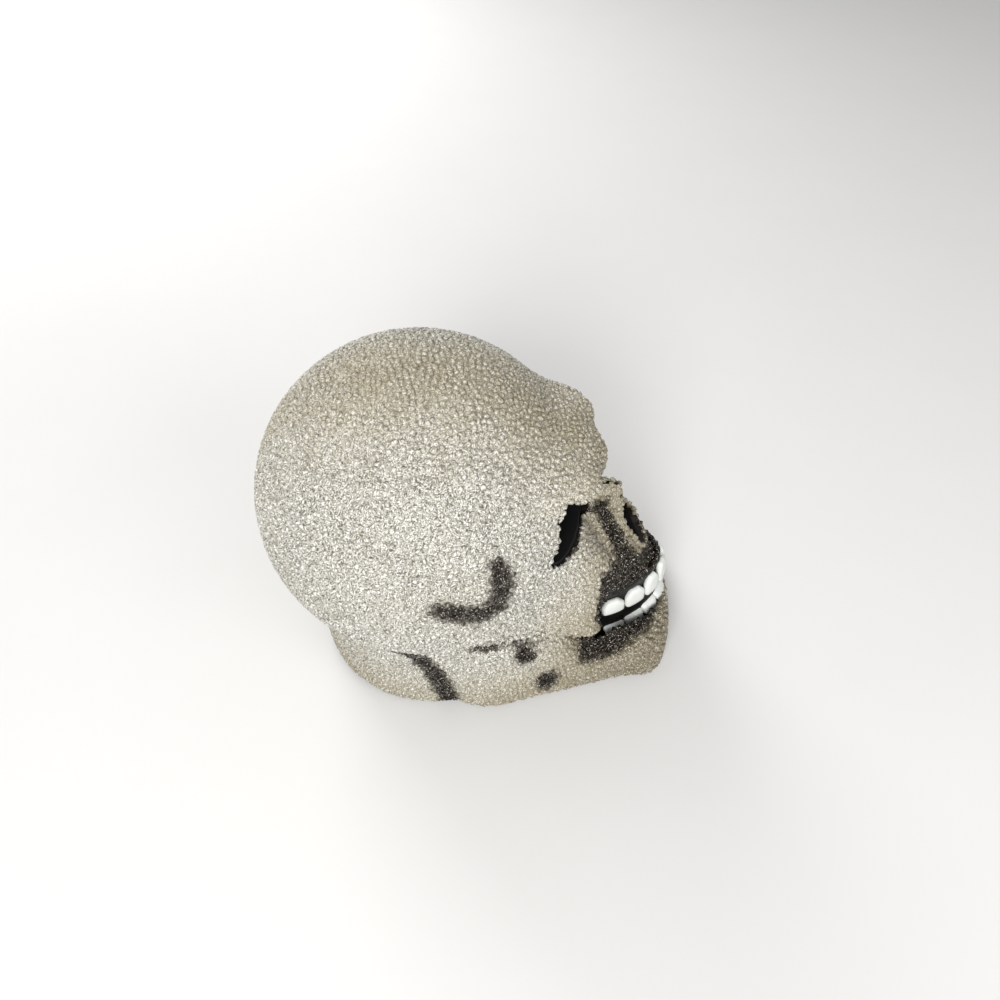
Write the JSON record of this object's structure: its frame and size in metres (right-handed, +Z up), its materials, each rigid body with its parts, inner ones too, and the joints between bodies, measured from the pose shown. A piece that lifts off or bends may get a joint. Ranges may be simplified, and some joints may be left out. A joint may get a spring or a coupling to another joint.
{
  "type": "light-up skull decoration",
  "caption": "Hollow skull of fused clear granules with black-lined sockets, white teeth and a battery light unit let into its flat base.",
  "frame": {"origin": "centre of the bounding box at the table, on the flat underside", "axes": "+X the way the face looks, +Y the skull's left, +Z up"},
  "size_m": [0.1629, 0.119, 0.1382],
  "materials": {
    "granules": "fused clear granules",
    "socket_black": "matte black",
    "gum_black": "glossy black paint",
    "tooth_white": "glossy white paint",
    "housing": "satin white moulding",
    "lens": "milky, half clear",
    "screw_steel": "plated",
    "contact_nickel": "nickel plated",
    "cell_jacket": "printed jacket, no marks",
    "board": "satin lacquer",
    "chip": "matte moulding",
    "lamp": "clear resin",
    "resistor_tan": "lacquered",
    "wire_red": "smooth sheath",
    "wire_black": "smooth sheath",
    "wire_white": "smooth sheath"
  },
  "bodies": {
    "skull": {"skull_shell": "granules", "eye_liner_left": "socket_black", "eye_liner_right": "socket_black", "nose_liner": "socket_black", "mouth_liner": "gum_black", "upper_teeth": "tooth_white", "lower_teeth": "tooth_white", "light_housing": "housing", "light_cover": "housing", "cover_screw_1": "screw_steel", "cover_screw_2": "screw_steel", "cover_screw_3": "screw_steel", "cover_screw_4": "screw_steel", "lens_dome": "lens", "battery_1": "cell_jacket", "battery_2": "cell_jacket", "battery_3": "cell_jacket", "contact_negative": "contact_nickel", "contact_link_front": "contact_nickel", "contact_link_back": "contact_nickel", "contact_positive": "contact_nickel", "switch_case": "screw_steel", "circuit_board": "board", "board_screw_1": "screw_steel", "board_screw_2": "screw_steel", "control_chip": "chip", "resistor": "resistor_tan", "lamp_1": "lamp", "lamp_2": "lamp", "lamp_3": "lamp", "wire_red": "wire_red", "wire_black": "wire_black", "wire_white": "wire_white"},
    "door": {"battery_door": "housing"},
    "door_screw": {"door_screw": "screw_steel"},
    "switch": {"switch_knob": "chip"}
  },
  "joints": [
    {"name": "door_hinge", "type": "hinge", "parent": "skull", "child": "door", "pos_m": [-0.0295, 0, 0.0032], "axis": [0, 1, 0], "range_deg": [0, 95]},
    {"name": "door_screw_turn", "type": "hinge", "parent": "door", "child": "door_screw", "pos_m": [0.0258, 0, 0.003], "axis": [0, 0, 1], "continuous": true},
    {"name": "switch_slide", "type": "slide", "parent": "skull", "child": "switch", "axis": [1, 0, 0], "range_m": [0, 0.003]}
  ]
}
